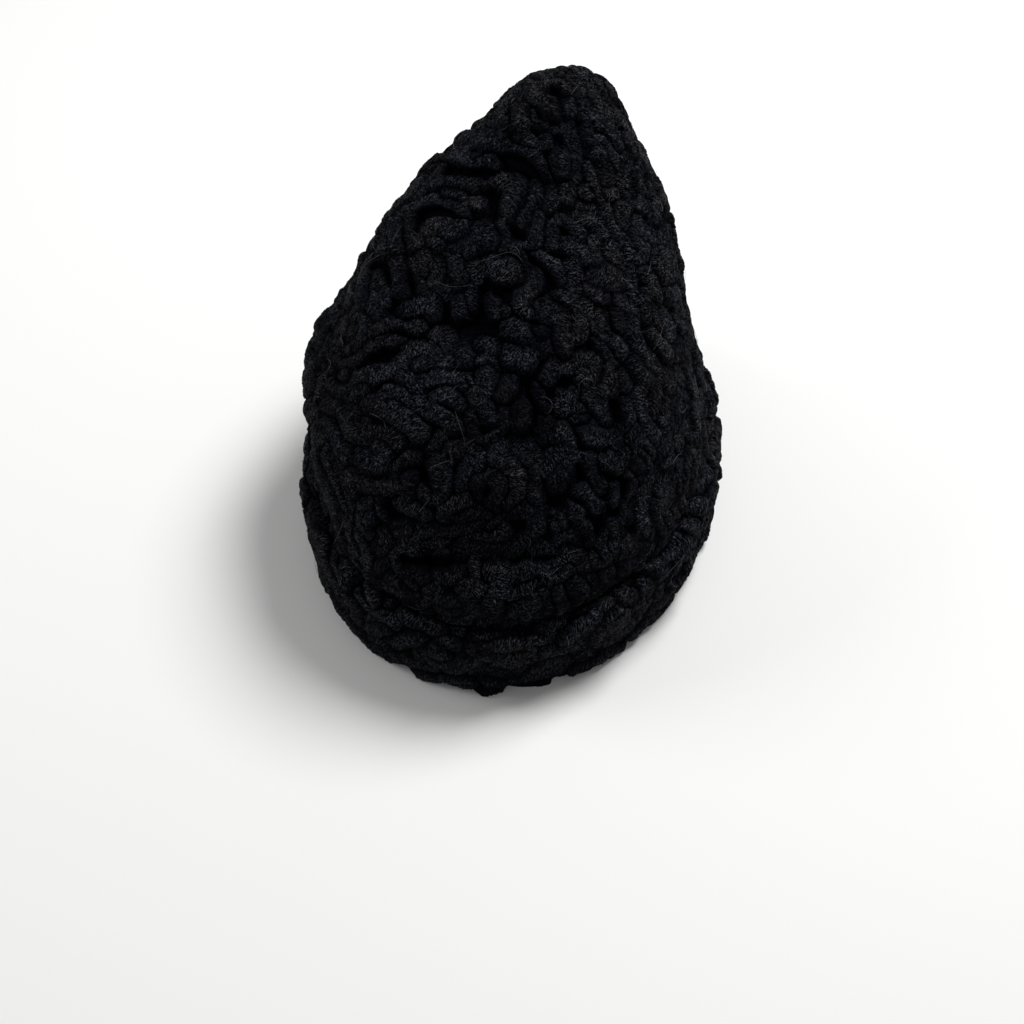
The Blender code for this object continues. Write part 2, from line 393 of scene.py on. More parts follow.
CROWN_HOLLOWS = (
    (5, 447, 172, 465, 174, 491, 174), (4, 425, 212, 441, 209, 455, 213), (4, 417, 219, 417, 233),
    (4.5, 492, 192, 493, 207), (4, 508, 157, 520, 161, 532, 171, 540, 183, 541, 193),
    (6, 513, 230, 520, 236), (4, 526, 249, 534, 262, 545, 269, 552, 282),
    (3.5, 558, 228, 566, 234, 578, 240), (4, 495, 293, 507, 293), (4, 481, 286, 481, 304, 483, 320),
    (7, 446, 304, 447, 315), (7, 462, 333, 480, 330, 497, 328), (4, 583, 350, 590, 347),
    (3, 463, 393, 467, 402), (5, 481, 428, 488, 432),
    (3.5, 523, 381, 528, 395, 533, 410, 534, 425, 528, 435), (4, 549, 401, 553, 394),
    (4, 563, 383, 564, 385), (4, 611, 401, 613, 412, 619, 424), (4, 578, 435, 582, 450),
    (4, 577, 468, 577, 482), (5, 597, 520, 597, 530), (4, 603, 474, 612, 478), (4, 623, 482, 621, 496),
    (5, 611, 513, 614, 514), (6, 388, 507, 397, 517), (7, 404, 558, 425, 560, 446, 563),
    (4, 424, 472, 426, 478), (3, 485, 482, 486, 494), (4, 513, 524, 519, 524), (4, 560, 500, 560, 509),
    (4, 397, 618, 399, 630), (5, 553, 88, 556, 93), (5, 556, 136, 558, 143), (4, 548, 152, 545, 158),
    (3, 576, 125, 581, 122), (4, 374, 267, 384, 266), (5, 389, 272, 391, 282), (4, 408, 274, 412, 287),
    (5, 396, 304, 409, 300), (5, 392, 332, 403, 335), (4, 376, 355, 383, 353), (4, 339, 380, 345, 382),
    (4, 546, 555, 551, 557),
)
CUFF_ROLLS = (
    (8, 394, 641, 410, 641, 422, 637), (10, 421, 655, 423, 660), (7, 440, 664, 455, 662, 468, 656),
    (9, 448, 644, 453, 646), (6, 470, 646, 472, 655), (6, 499, 645, 512, 641),
    (6, 525, 645, 536, 641, 548, 638), (8, 569, 637, 580, 628, 596, 620), (5, 494, 656, 515, 655),
    (5, 545, 651, 560, 652, 573, 645), (9, 583, 654, 588, 656), (8, 668, 586, 678, 576, 685, 566),
    (9, 628, 599, 634, 598), (6, 652, 582, 652, 593), (4, 651, 600, 645, 612), (7, 372, 628, 388, 628),
    (5, 336, 488, 334, 505), (7, 317, 462, 316, 480, 322, 498),
)

HOLLOW_SHARE = 0.42         # a hollow looks wider than it is, because its sides are in shade
PIXEL_REACH = 2.5           # so many pixels round a row's point, what is nearest the camera is taken

view_axes = np.array(camera.rotation_euler.to_matrix())
camera_place = np.array(camera.location) / MM


def pixels_of(points):
    """Where points, in millimetres, come in the photograph, and how far they are from the camera."""
    seen = (points - camera_place) @ view_axes
    scale = CAMERA_DISTANCE / PIXEL_SIZE
    return (
        HAT_CENTRE_IN_IMAGE[0] - seen[:, 0] / seen[:, 2] * scale,
        HAT_CENTRE_IN_IMAGE[1] + seen[:, 1] / seen[:, 2] * scale,
        -seen[:, 2],
    )


def behind_pixels(skin, row):
    """The places on the skin that lie behind a row's pixels, which come after its first entry."""
    towards = unit(camera_place - skin.points)
    shown = np.flatnonzero((skin.cover > SOME_FUR) & ((towards * skin.normal).sum(axis=1) > 0.05))
    x, y, depth = pixels_of(skin.points[shown])
    depth -= depth.min()
    places = []
    for column, line in zip(row[1::2], row[2::2]):
        away = np.hypot(x - column, y - line)
        beyond = away >= max(PIXEL_REACH, away.min() + 0.01)
        best = (away + 0.1 * depth * (away < PIXEL_REACH) + 99 * beyond).argmin()
        places.append(skin.points[shown[best]])
    return np.array(places)


print(len(CROWN_ROLLS) + len(CUFF_ROLLS), "rolls and", len(CROWN_HOLLOWS), "hollows placed by hand")

# %% [markdown]
# ## Laying the spines
# A spine starts next to rolls that already lie there, so that no gap is left, and creeps over the skin in
# small steps. At each step it looks a little to the left and right, and takes the way that keeps it
# touching its neighbour. It stops when its length is used up, at the fur's edge, or when another roll is in
# the way. Where an end is to be joined, two more points bridge the gap to the next roll, and count as part
# of both.

# %% Creep over the skin
STEP = 1.5                  # millimetres between the points of a spine
SPOTS = 12000               # places on a skin where free room is kept count of
LOOK = np.radians((-60, -35, -15, 0, 15, 35, 60))       # the turns that are tried at each step
SNUG = 0.75                 # the share of its half width that a spine keeps free on each side
STRAIGHT = 0.5              # what a turn costs a creeping spine, beside the room that it keeps
BLOCKED = 5                 # what it costs to come too near another roll
KNOBS = 0.12                # how much a roll's half width varies along it
BRIDGE = np.array((1 / 3, 2 / 3))   # where the two points of a bridge lie between the rolls that it joins
BRIDGE_WIDTH = 0.9          # a bridge's half width, as a share of the thinner roll's
BRIDGE_REACH = 1.4          # how far off, in half widths, a roll's edge may be to be joined
JOINED_BY_HAND = 0.6        # the share of ends that are joined on the listed rolls
SIZE_SPREAD = 0.22          # how far a grown roll's half width strays from the middling one
SIZE_LIMITS = (0.65, 1.4)   # and where that ends
LENGTH_SPREAD = 0.55        # how far its length strays, on a logarithmic scale
ROOM = 0.92                 # the room that a roll needs, as a share of its half width
LAST_ROOM = 0.84            # and once that is nowhere left, of the middling half width
SCATTER = 2.5               # millimetres of chance in which spot comes next
HEADING_SPREAD = 0.4        # how far an ordered roll strays from its heading, in radians
HUG = (0.1, 1.2)            # how closely a roll follows its neighbour
SPLIT = (0.2, 0.8)          # the share of a roll's length that lies ahead of where it starts
TUFT_JOINED = 0.2           # how much oftener a tuft, a roll of one point, is joined


def turned(direction, normal, angles):
    """The direction turned about the normal, once for each angle."""
    side = np.cross(normal, direction)
    return np.outer(np.cos(angles), direction) + np.outer(np.sin(angles), side)


class Fleece:
    """The rolls on one skin: the points of all spines, with their widths, directions and roll numbers."""

    def __init__(self, skin, seed):
        self.skin = skin
        self.rng = np.random.default_rng(seed)
        self.furred = np.flatnonzero(skin.cover > SOME_FUR)
        self.tree = KDTree(len(self.furred))
        for index in self.furred:
            self.tree.insert(skin.points[index], index)
        self.tree.balance()
        self.spots = self.rng.choice(self.furred, SPOTS, replace=False)
        self.spot_room = np.full(SPOTS, 99.0)
        self.points = np.zeros((0, 3))
        self.along = np.zeros((0, 3))
        self.travel = np.zeros(0)
        self.half_width = np.zeros(0)
        self.number = np.zeros(0, int)
        self.partner = np.zeros(0, int)
        self.sunk = []
        self.ends = []
        self.rolls = 0

    def nearest(self, place):
        return self.tree.find(place)[1]

    def room(self, places):
        """Millimetres from each place to the edge of the nearest roll."""
        if not self.rolls:
            return np.full(len(places), 99.0)
        away = np.linalg.norm(places[:, None] - self.points, axis=2)
        return (away - self.half_width).min(axis=1)

    def creep(self, start, heading, length, half_width, bend, hug):
        path = [start]
        for _ in range(int(length / STEP)):
            index = self.nearest(path[-1])
            normal = self.skin.normal[index]
            heading = unit(heading - normal * (heading @ normal))
            turns = LOOK + bend * STEP
            ways = turned(heading, normal, turns)
            places = path[-1] + STEP * ways
            room = self.room(places)
            blocked = room < SNUG * half_width
            loose = np.abs(np.minimum(room / half_width, 2) - 1)
            cost = hug * loose + STRAIGHT * np.abs(LOOK) + BLOCKED * blocked
            best = cost.argmin()
            if blocked[best]:
                break
            index = self.nearest(places[best])
            if self.skin.cover[index] < 2 * SOME_FUR:
                break
            path.append(self.on_skin(places[best]))
            heading = ways[best]
        return path

    def trace(self, row, sunk):
        """Adds a roll or a hollow that is given as a row."""
        corners = behind_pixels(self.skin, row)
        steps = np.linalg.norm(np.diff(corners, axis=0), axis=1)
        reach = np.concatenate([[0], np.cumsum(steps)])
        at = np.linspace(0, reach[-1], max(2, round(reach[-1] / STEP) + 1))
        path = np.column_stack([np.interp(at, reach, corners[:, k]) for k in range(3)])
        path[1:-1] = (path[:-2] + 2 * path[1:-1] + path[2:]) / 4
        narrowing = HOLLOW_SHARE if sunk else 1
        self.lay([self.on_skin(place) for place in path], row[0] * narrowing * PIXEL_SIZE / MM, sunk)
        if not sunk:
            self.ends += [(len(self.points) - 1, 1), (len(self.points) - len(path), -1)]

    def on_skin(self, place):
        index = self.nearest(place)
        normal = self.skin.normal[index]
        return place - ((place - self.skin.points[index]) @ normal) * normal

    def keep(self, path, along, travel, widths, number, partner):
        """Adds points to the arrays of all spine points."""
        count = len(path)
        self.points = np.concatenate([self.points, path])
        self.along = np.concatenate([self.along, along])
        self.travel = np.concatenate([self.travel, travel])
        self.half_width = np.concatenate([self.half_width, widths])
        self.number = np.concatenate([self.number, np.full(count, number)])
        self.partner = np.concatenate([self.partner, np.full(count, partner)])

    def lay(self, path, half_width, sunk=False):
        """Adds a roll along a path, or a hollow, where no roll may lie."""
        path = np.array(path)
        if len(path) > 2:
            path[1:-1] = (path[:-2] + 2 * path[1:-1] + path[2:]) / 4
        count = len(path)
        widths = self.rng.normal(0, 1, count + 4)
        widths = np.convolve(widths, (0.3, 0.5, 0.7, 0.5, 0.3), "valid")
        widths = half_width * (1 + KNOBS * widths)
        if count > 1:
            along = unit(np.gradient(path, axis=0))
        else:
            along = unit(np.cross(self.skin.normal[self.nearest(path[0])], self.rng.normal(0, 1, 3)))[None]
        steps = np.linalg.norm(np.diff(path, axis=0), axis=1)
        travel = np.concatenate([[0], np.cumsum(steps)])
        self.keep(path, along, travel, widths, self.rolls, self.rolls)
        self.sunk.append(sunk)
        self.rolls += 1
        away = np.linalg.norm(self.skin.points[self.spots][:, None] - path, axis=2) - widths
        self.spot_room = np.minimum(self.spot_room, away.min(axis=1))

    def join(self, end, ahead):
        """Bridges the gap between a roll's end and the roll that it meets."""
        place, number = self.points[end], self.number[end]
        others = np.flatnonzero((self.number != number) & ~np.array(self.sunk)[self.number])
        apart = self.points[others] - place
        away = np.linalg.norm(apart, axis=1)
        reach = away - self.half_width[others] + 3 * (apart @ ahead < 0.2 * away)
        best = reach.argmin()
        if reach[best] > BRIDGE_REACH * self.half_width[end]:
            return
        met = others[best]
        path = np.array([self.on_skin(place + apart[best] * share) for share in BRIDGE])
        along = [unit(apart[best])] * 2
        travel = self.travel[end] + away[best] * BRIDGE
        widths = [BRIDGE_WIDTH * min(self.half_width[end], self.half_width[met])] * 2
        self.keep(path, along, travel, widths, number, self.number[met])

    def join_placed(self):
        """Joins the ends of the listed rolls."""
        for end, sense in self.ends:
            if self.rng.random() < JOINED_BY_HAND:
                self.join(end, sense * self.along[end])

    def fill(self):
        """Lays rolls until no spot has room for another."""
        skin, rng = self.skin, self.rng
        while True:
            scale = np.clip(rng.normal(1, SIZE_SPREAD), *SIZE_LIMITS)
            need = skin.half_width[self.spots] * scale
            free = np.flatnonzero(self.spot_room > ROOM * need)
            if not len(free):
                free = np.flatnonzero(self.spot_room > LAST_ROOM * skin.half_width[self.spots])
                if not len(free):
                    break
                need = np.minimum(need, self.spot_room)
            spot = free[(self.spot_room[free] + rng.uniform(0, SCATTER, len(free))).argmin()]
            index = self.spots[spot]
            half_width = need[spot]
            length = skin.roll_length * rng.lognormal(0, LENGTH_SPREAD)
            rim = unit(np.cross((0, 0, 1), skin.normal[index]))
            spread = rng.uniform(-math.pi, math.pi)
            if rng.random() < skin.ordered[index]:
                spread = skin.heading + rng.normal(0, HEADING_SPREAD)
            heading = turned(rim, skin.normal[index], [spread])[0]
            bend = rng.normal(0, skin.bend)
            hug = rng.uniform(*HUG)
            start = skin.points[index]
            split = rng.uniform(*SPLIT)
            ahead = self.creep(start, heading, length * split, half_width, bend, hug)
            behind = self.creep(start, -heading, length * (1 - split), half_width, -bend, hug)
            path = behind[:0:-1] + ahead
            self.lay(path, half_width)
            first, last = len(self.points) - len(path), len(self.points) - 1
            tuft = len(path) == 1
            if rng.random() < skin.joined + TUFT_JOINED * tuft:
                self.join(last, self.along[last] * (not tuft))
            if not tuft and rng.random() < skin.joined:
                self.join(first, -self.along[first])


crown.fleece = Fleece(crown, 11)
cuff.fleece = Fleece(cuff, 12)
for row in CROWN_HOLLOWS:
    crown.fleece.trace(row, True)
for row in CROWN_ROLLS:
    crown.fleece.trace(row, False)
for row in CUFF_ROLLS:
    cuff.fleece.trace(row, False)
for skin in (crown, cuff):
    skin.fleece.placed = skin.fleece.rolls
    skin.fleece.fill()
    skin.fleece.join_placed()
    print(skin.thing.name, skin.fleece.rolls, "rolls", len(skin.fleece.points), "spine points")

# %% [markdown]
# ## Sharing out the skin
# Every point of the skin belongs to the roll whose edge is nearest, and the parting lies where two rolls
# have equal claim. How far a point is from its parting gives the height of the fur there. Where it lies
# along and across its spine gives a map on which hair can later be drawn.

# %% Nearest roll and parting
NEAR = 24                   # how many spine points are looked at for each point of the skin


def share_out(skin):
    fleece = skin.fleece
    tree = KDTree(len(fleece.points))
    for index, place in enumerate(fleece.points):
        tree.insert(place, index)
    tree.balance()
    furred = np.flatnonzero(skin.cover > 0)
    near = np.zeros((len(furred), NEAR), int)
    away = np.zeros((len(furred), NEAR))
    for row, place in enumerate(skin.points[furred].tolist()):
        hits = tree.find_n(place, NEAR)
        near[row] = [hit[1] for hit in hits]
        away[row] = [hit[2] for hit in hits]
    claim = away - fleece.half_width[near]
    best = claim.argmin(axis=1)
    rows = np.arange(len(furred))
    own = near[rows, best]
    names = (fleece.number, fleece.partner)
    kin = sum((name[near] == mine[own][:, None]) for name in names for mine in names) > 0
    other = np.where(kin, 99, claim).min(axis=1)
    skin.own = np.zeros(skin.count, int)
    skin.parting = np.full(skin.count, 9.0)
    skin.gap = np.zeros(skin.count)
    skin.own[furred] = own
    skin.parting[furred] = (other - claim[rows, best]) / 2
    skin.gap[furred] = claim[rows, best]


for skin in (crown, cuff):
    share_out(skin)
    print(skin.thing.name, "partings found")

# %% [markdown]
# ## Raising the rolls
# A roll is a tube of hair, so seen from its end it is round: its height over the parting follows a circle.
# Rolls differ in how far they stand out, and lean a little down the hat and to their own side, over the
# parting. Where no roll quite reaches, a pit is left, and these are the blackest places on the hat. A
# render alone leaves such places too bright, because its hair has no depth, so a field called light also
# darkens the fur where partings and hollows crowd together.

# %% Raise and lean
RISE = 1.2                  # millimetres above the solid at the top of a middling roll
BULGE_CROWN = 0.78          # a roll's height as a share of its half width
BULGE_CUFF = 0.9
PIT = 1.6                   # how deep a pit between rolls goes below the partings
PIT_GAP = (0.3, 2.0)        # a pit starts and is full so many millimetres from the nearest roll
HOLLOW_FLOOR = 0.1          # the height that is left in a hollow
STAGGER = 1.2               # how far one roll stands above another of its size
CLOSED = 0.3                # how far the partings are filled in some places
CLOSED_RANGE = (-0.8, 1.5)  # which places these are, by a smooth field of chance
CLOSED_BY_HAND = 0.3        # the share of that filling on the listed rolls
LESS_CLOSED = 0.6           # and how much of it is left out where the rolls lie in order
FULLNESS = 2.6              # 2 would be a true circle, more is flatter on top
LUMPS = 0.2                 # how far a roll's own surface bulges between its locks
SHADE = 4.8                 # how much darker the fur is where partings and hollows crowd together
UNEVEN = 0.28               # how far one roll is lighter or darker than another
LIGHT_LIMITS = (0.05, 1.45)     # the ends of the light field
LEAN = 0.7                  # how far a roll's top moves down the hat
OWN_LEAN = 0.9              # and to its own side
OVERHANG = 1.4              # how far the fur just above the cuff swells out over the cuff's edge
APART = 37.0                # keeps the hair maps of two rolls apart, so that their hairs differ
# Rounds of averaging, which say how wide the patches of each field are
ROUNDS = {"closed": 40, "light": 24, "uneven": 6, "stagger": 8, "lumps": 5, "lean": 4}


def raise_rolls(skin, bulge, seed):
    rng = np.random.default_rng(seed)
    fleece = skin.fleece
    half_width = fleece.half_width[skin.own]
    number = fleece.number[skin.own]
    inward = 1 - np.clip(skin.parting / half_width, 0, 1)
    sunk = np.array(fleece.sunk)[number]
    by_hand = np.where(number < fleece.placed, CLOSED_BY_HAND, 1)
    closed = skin.smooth(rng.normal(0, 1, skin.count), ROUNDS["closed"])
    closed = CLOSED * ramp(closed / closed.std(), *CLOSED_RANGE) * by_hand
    closed *= 1 - LESS_CLOSED * skin.ordered
    circle = (1 - inward ** FULLNESS) ** (1 / FULLNESS)
    skin.height = np.where(sunk, HOLLOW_FLOOR * inward, closed + (1 - closed) * circle)
    open_to_light = skin.smooth(skin.height, ROUNDS["light"])
    open_to_light /= open_to_light[skin.cover > FULL_FUR].mean()
    uneven = skin.smooth(rng.normal(0, UNEVEN, fleece.rolls)[number], ROUNDS["uneven"])
    skin.light = np.clip(open_to_light ** SHADE * np.exp(uneven), *LIGHT_LIMITS)
    pit = PIT * np.maximum(ramp(skin.gap, *PIT_GAP), sunk * (1 - inward))
    stagger = skin.smooth(rng.normal(0, STAGGER * bulge, fleece.rolls)[number], ROUNDS["stagger"])
    lumps = skin.smooth(rng.normal(0, 1, skin.count), ROUNDS["lumps"])
    lumps = LUMPS * lumps / lumps.std()
    crest = bulge * (half_width + skin.half_width) / 2
    lift = RISE + (crest + stagger + lumps) * skin.height - bulge * skin.half_width - pit
    own = skin.smooth(rng.normal(0, OWN_LEAN, (fleece.rolls, 3))[number], ROUNDS["lean"]) + (0, 0, -LEAN)
    lean = own - skin.normal * (own * skin.normal).sum(axis=1)[:, None]
    away = skin.points - fleece.points[skin.own]
    along = fleece.along[skin.own]
    side = np.cross(skin.normal, along)
    skin.over = (away * side).sum(axis=1)
    skin.far = fleece.travel[skin.own] + (away * along).sum(axis=1) + APART * number
    skin.across = side
    moved = skin.normal * lift[:, None] + lean * skin.height[:, None] ** 2
    skin.points = skin.points + moved * skin.cover[:, None]
    skin.points[:, 2] = np.maximum(skin.points[:, 2], 0)
    covered = skin.cover > FULL_FUR
    print(skin.thing.name, "relief from %.1f to %.1f mm" % (lift[covered].min(), lift[covered].max()))


ledge = (crown.points[:, 2] - (CUFF_TOP + 5)) / 6
crown.points += crown.normal * (OVERHANG * np.exp(-ledge ** 2) * crown.cover)[:, None]
raise_rolls(crown, BULGE_CROWN, 21)
raise_rolls(cuff, BULGE_CUFF, 22)

# %% [markdown]
# ## Which way the hair lies
# In a lamb curl the hairs run across the roll, over its top and down into the parting.
# They lie a little on the slant, as the strands of a rope do.

# %% Keep the hair's direction and its map
SLANT = 0.35                # how far a hair moves along the roll for each millimetre across it

for skin in (crown, cuff):
    along = skin.fleece.along[skin.own]
    skin.store("across", unit(skin.across + SLANT * along))
    skin.store("hair_map", np.column_stack([skin.far - SLANT * skin.over, skin.over, 0 * skin.over]))
    skin.store("height", skin.height * skin.cover)
    skin.store("cover", skin.cover)
    skin.store("light", skin.light)
print("hair direction stored")

# %% [markdown]
# ## Thinning where the skin is plain
# The partings need points less than a millimetre apart, but the tops of the rolls and the bare inside
# don't. A Decimate modifier takes points out where the surface is plain and leaves them where it bends.

# %% Thin the skins
SKIN_TRIANGLES = {"crown_fur": 190000, "cuff_fur": 96000}


def thin(skin):
    thing = skin.thing
    skin.write()
    thinner = thing.modifiers.new("thin", "DECIMATE")
    thinner.ratio = SKIN_TRIANGLES[thing.name] / (2 * len(thing.data.polygons))
    thing.data = evaluated_mesh(thing)
    thing.modifiers.clear()
    thing.data.shade_smooth()
    thing.data.calc_loop_triangles()
    print(thing.name, len(thing.data.loop_triangles), "triangles")


thin(crown)
thin(cuff)

# %% [markdown]
# ## Building node trees in code
# Materials and Geometry Nodes are both trees of nodes.
# One small helper adds a node, sets its options, and fills each input with a value or a link.
# The others are short names for what the materials and the locks use most.

# %% Helpers for nodes
def add(tree, kind, inputs=None, **settings):
    node = tree.nodes.new(kind)
    for name, value in settings.items():
        setattr(node, name, value)
    for socket, value in (inputs or {}).items():
        if isinstance(value, bpy.types.NodeSocket):
            tree.links.new(value, node.inputs[socket])
        else:
            node.inputs[socket].default_value = value
    return node


def result(tree, kind, inputs=None, output=0, **settings):
    """A new node's output, by its number or name."""
    return add(tree, kind, inputs, **settings).outputs[output]


def calculate(tree, operation, *values):
    """A Math node's result."""
    return result(tree, "ShaderNodeMath", dict(enumerate(values)), operation=operation)


def times(tree, product, *values):
    for value in values:
        product = calculate(tree, "MULTIPLY", product, value)
    return product


def mix(tree, share, first, second):
    """A colour between two others."""
    return result(tree, "ShaderNodeMix", {0: share, 6: first, 7: second}, 2, data_type="RGBA")


def noise(tree, place, scale, detail):
    return result(tree, "ShaderNodeTexNoise", {"Vector": place, "Scale": scale, "Detail": detail})


def sharpened(tree, value, low, high):
    """0 up to low and 1 from high."""
    return result(tree, "ShaderNodeMapRange", {0: value, 1: low, 2: high})


def stored(tree, name, output="Fac"):
    """A field of the mesh, in a material."""
    return result(tree, "ShaderNodeAttribute", None, output, attribute_name=name)


def place_on_object(tree):
    return result(tree, "ShaderNodeTexCoord", None, "Object")


# %% [markdown]
# ## The finish of the fur
# Dyed lamb is nearly black, with a bluish cast where it is new and a browner one where it has rubbed. Each
# hair is glossy, but a roll of thousands of black ones reflects no more than a soft grey along its top. So
# the shader has hardly any gloss, and the colour itself goes from painted shade in a parting to that grey,
# a painted sheen, whose cast drifts between new and rubbed. A stretched noise on the hair map breaks it up
# into hairs, and the field called light paints more shade on crowded places. The bare side is matt suede
# with a mottled dye and a fine grain.

# %% The fur's colour
# The fur's colour runs from FUR_DARK, its painted shade, to a painted sheen on a roll's top, tinted new or
# rubbed
FUR_DARK = (0.0001, 0.0001, 0.0017, 1)
FUR_SHEEN_NEW = (0.0395, 0.0458, 0.0555, 1)
FUR_SHEEN_RUBBED = (0.0450, 0.0453, 0.0475, 1)
TINT_SCALE = 45             # patches of either tint are about 20 mm across
TINT_RANGE = (0.36, 0.64)


def fur_shader(name):
    material = bpy.data.materials.new(name)
    material.use_nodes = True
    shader = material.node_tree.nodes["Principled BSDF"]
    shader.inputs["Roughness"].default_value = 0.5
    shader.inputs["Specular IOR Level"].default_value = 0.02
    return material, material.node_tree, shader


def fur_colour(tree, shade):
    """From the painted shade of a parting to the painted sheen on a roll's top, whose tint drifts over the
    hat.
    """
    patches = noise(tree, place_on_object(tree), TINT_SCALE, 1.0)
    sheen_tint = mix(tree, sharpened(tree, patches, *TINT_RANGE), FUR_SHEEN_NEW, FUR_SHEEN_RUBBED)
    return mix(tree, shade, FUR_DARK, sheen_tint)


# %% Suede on the bare side
SUEDE_DARK = (0.013, 0.012, 0.011, 1)
SUEDE_LIGHT = (0.034, 0.030, 0.027, 1)
MOTTLE_SCALE = 55.0
MOTTLE_RANGE = (0.35, 0.65)
GRAIN_SCALE = 900.0
GRAIN_HEIGHT = 0.6          # as a share of the hairs' height


def suede(tree):
    """The bare side's mottled colour and the height of its grain."""
    place = place_on_object(tree)
    mottle = noise(tree, place, MOTTLE_SCALE, 6.0)
    colour = mix(tree, sharpened(tree, mottle, *MOTTLE_RANGE), SUEDE_DARK, SUEDE_LIGHT)
    return colour, times(tree, noise(tree, place, GRAIN_SCALE, 3.0), GRAIN_HEIGHT)


# %% Fur on the skin
HAIRS = (2.1, 0.6, 1.0)     # changes of tone for each millimetre along and across a roll
HAIR_RANGE = (0.48, 0.61)   # the part of that noise between the darkest and the lightest hair
PAINTED_SHADE_SHARPNESS = 3.8     # how quickly the painted shade darkens the fur down a roll's side
HAIR_BUMP = 0.8 * MM


def skin_material():
    material, tree, shader = fur_shader("lamb fur")
    cover = stored(tree, "cover")
    on_roll = stored(tree, "hair_map", "Vector")
    drawn = result(tree, "ShaderNodeMapping", {"Vector": on_roll, "Scale": HAIRS})
    hairs = noise(tree, drawn, 1.0, 3.0)
    # Painted shade: the fur darkens from a roll's top down into its partings, and more where the light field
    # is low
    parting_shade = calculate(tree, "POWER", stored(tree, "height"), PAINTED_SHADE_SHARPNESS)
    fur = fur_colour(tree, times(tree, parting_shade, stored(tree, "light"), sharpened(tree, hairs, *HAIR_RANGE)))
    bare, grain = suede(tree)
    tree.links.new(mix(tree, cover, bare, fur), shader.inputs["Base Color"])
    relief = result(tree, "ShaderNodeMix", {0: cover, 2: grain, 3: hairs}, data_type="FLOAT")
    bump = result(tree, "ShaderNodeBump", {"Height": relief, "Strength": 1.0, "Distance": HAIR_BUMP})
    tree.links.new(bump, shader.inputs["Normal"])
    return material


fur_material = skin_material()
print("made", fur_material.name)

# %% Fur on the locks
GLINT_SCALE = 1400.0
GLINT_RANGE = (0.475, 0.595)


def lock_material():
    material, tree, shader = fur_shader("lamb hair locks")
    # The locks' colour paints glints as specks of the painted sheen, and paints shade lower down each roll
    # and where partings crowd; each lock's tone also differs at random
    glints = sharpened(tree, noise(tree, place_on_object(tree), GLINT_SCALE, 1.0), *GLINT_RANGE)
    tone = calculate(tree, "POWER", stored(tree, "tone"), 2.0)
    shade = times(tree, stored(tree, "height"), stored(tree, "light"), glints, tone)
    tree.links.new(fur_colour(tree, shade), shader.inputs["Base Color"])
    return material


hair_material = lock_material()
print("made", hair_material.name)

# %% [markdown]
# ## Locks of hair across the rolls
# Close up, each roll is made of small locks, about 0.4 mm wide, that pass over it side by side. A lock is a
# strip of a few faces, and Geometry Nodes scatter tens of thousands of them over each skin. Each is turned
# along the stored hair direction, wrapped onto the skin below it, arched a little clear of it, and tucked
# in at both ends.

# %% The lock tree
LOCK_FACES_ALONG = 3
LOCK_FACES_ACROSS = 1
SMALLEST_LOCK = (0.7, 0.7, 1)       # length, width and height, as shares of the given ones
LARGEST_LOCK = (1.25, 1.3, 1)
WOBBLE = 0.3                # how far a lock turns from the hair's direction, in radians


def named_field(tree, name, kind):
    return result(tree, "GeometryNodeInputNamedAttribute", {"Name": name}, data_type=kind)


def chance(tree, low, high, seed):
    """A number for each lock."""
    return result(tree, "FunctionNodeRandomValue", {2: low, 3: high, "Seed": seed}, 1, data_type="FLOAT")


def store(tree, geometry, name, value, kind, domain):
    """A geometry that carries a named field."""
    given = {"Geometry": geometry, "Name": name, "Value": value}
    return result(tree, "GeometryNodeStoreNamedAttribute", given, data_type=kind, domain=domain)


def new_geometry_tree(name, floats):
    tree = bpy.data.node_groups.new(name, "GeometryNodeTree")
    tree.is_modifier = True
    tree.interface.new_socket("Geometry", in_out="OUTPUT", socket_type="NodeSocketGeometry")
    tree.interface.new_socket("Geometry", in_out="INPUT", socket_type="NodeSocketGeometry")
    for label in floats:
        tree.interface.new_socket(label, in_out="INPUT", socket_type="NodeSocketFloat")
    tree.interface.new_socket("Seed", in_out="INPUT", socket_type="NodeSocketInt")
    tree.interface.new_socket("Material", in_out="INPUT", socket_type="NodeSocketMaterial")
    return tree


def nearest_on_skin(tree, skin, value, place):
    given = {"Mesh": skin, "Value": value, "Sample Position": place}
    return result(tree, "GeometryNodeSampleNearestSurface", given, data_type="FLOAT_VECTOR")


